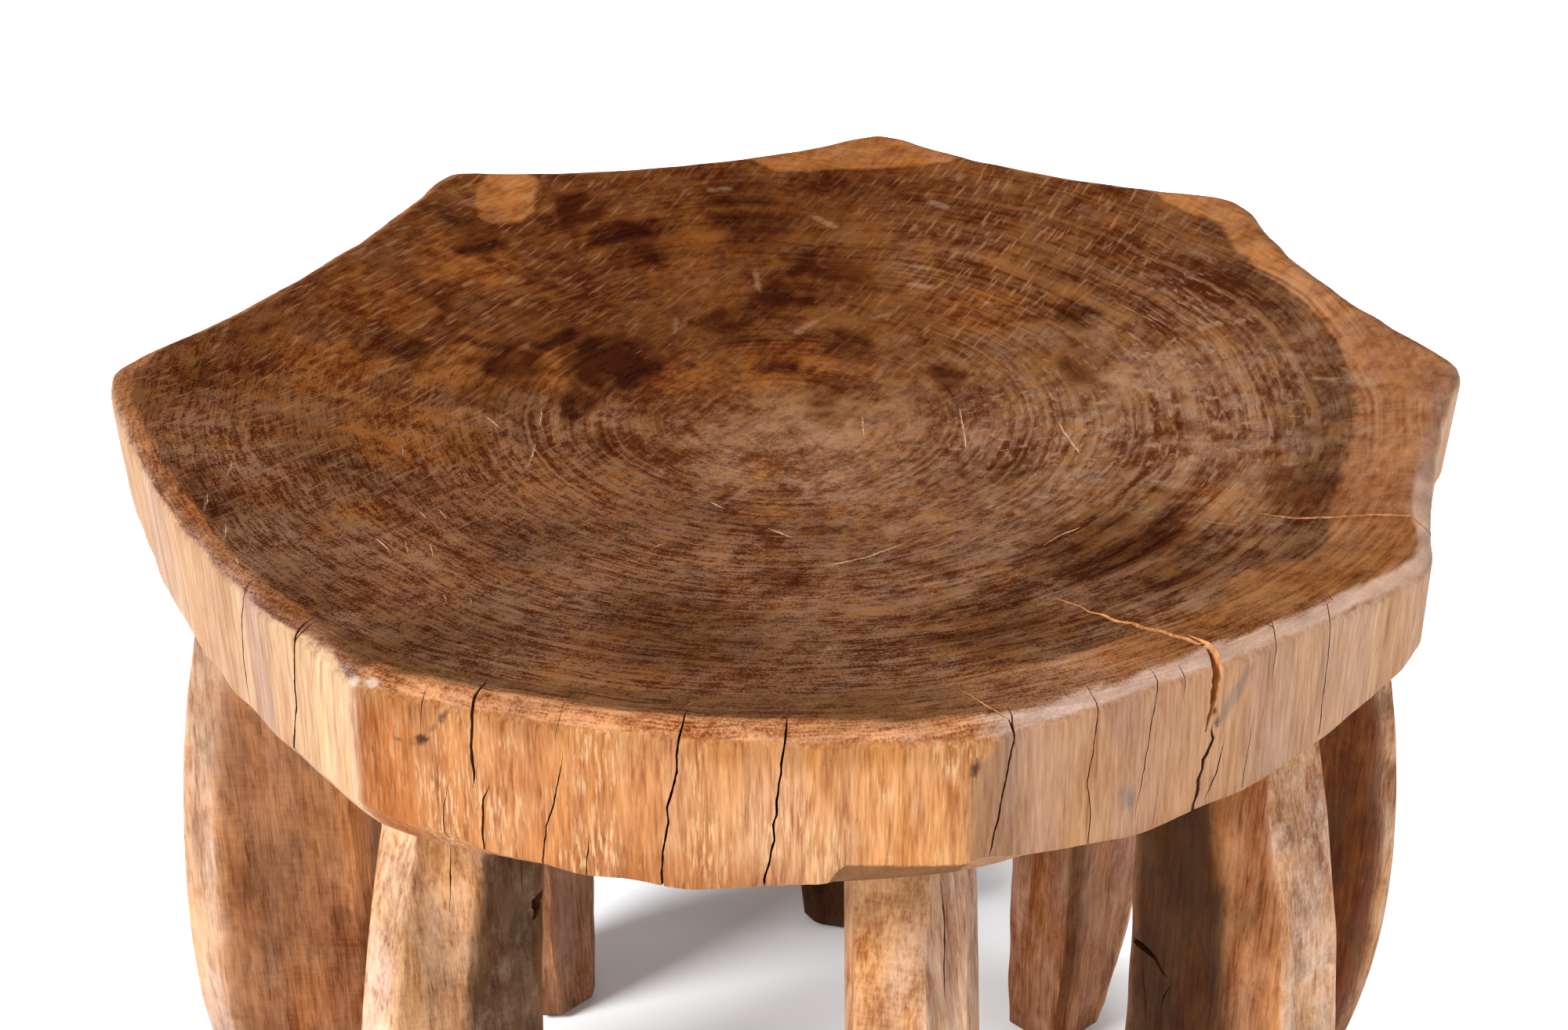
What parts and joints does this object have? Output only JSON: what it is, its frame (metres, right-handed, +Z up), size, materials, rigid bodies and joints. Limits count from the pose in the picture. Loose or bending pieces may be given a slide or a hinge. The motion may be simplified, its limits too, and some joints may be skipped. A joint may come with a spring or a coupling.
{
  "type": "carved stool",
  "caption": "Low carved wooden stool: a thick dished round seat with a pointed, lobed rim on outward-bowed hewn legs.",
  "frame": {"origin": "on the floor, centred under the stool's box", "axes": "+Z up; -Y is the side that faces the viewer of the picture; +X is to that viewer's right"},
  "size_m": [0.4502, 0.452, 0.38],
  "materials": {
    "seat": "dark reddish-brown end grain, satin from wear",
    "leg_front": "orange-tan sapwood, hewn facets",
    "leg_front_right": "brown to orange-tan, hewn facets",
    "leg_right": "brown, hewn facets",
    "leg_back_right": "brown, hewn facets",
    "leg_back": "dark brown, hewn facets",
    "leg_back_left": "brown with a paler face, hewn facets",
    "leg_left": "brown, hewn facets",
    "leg_front_left": "pinkish tan with a dark side, hewn facets"
  },
  "bodies": {
    "root": {"seat": "seat", "leg_front": "leg_front", "leg_front_right": "leg_front_right", "leg_right": "leg_right", "leg_back_right": "leg_back_right", "leg_back": "leg_back", "leg_back_left": "leg_back_left", "leg_left": "leg_left", "leg_front_left": "leg_front_left"}
  },
  "joints": []
}
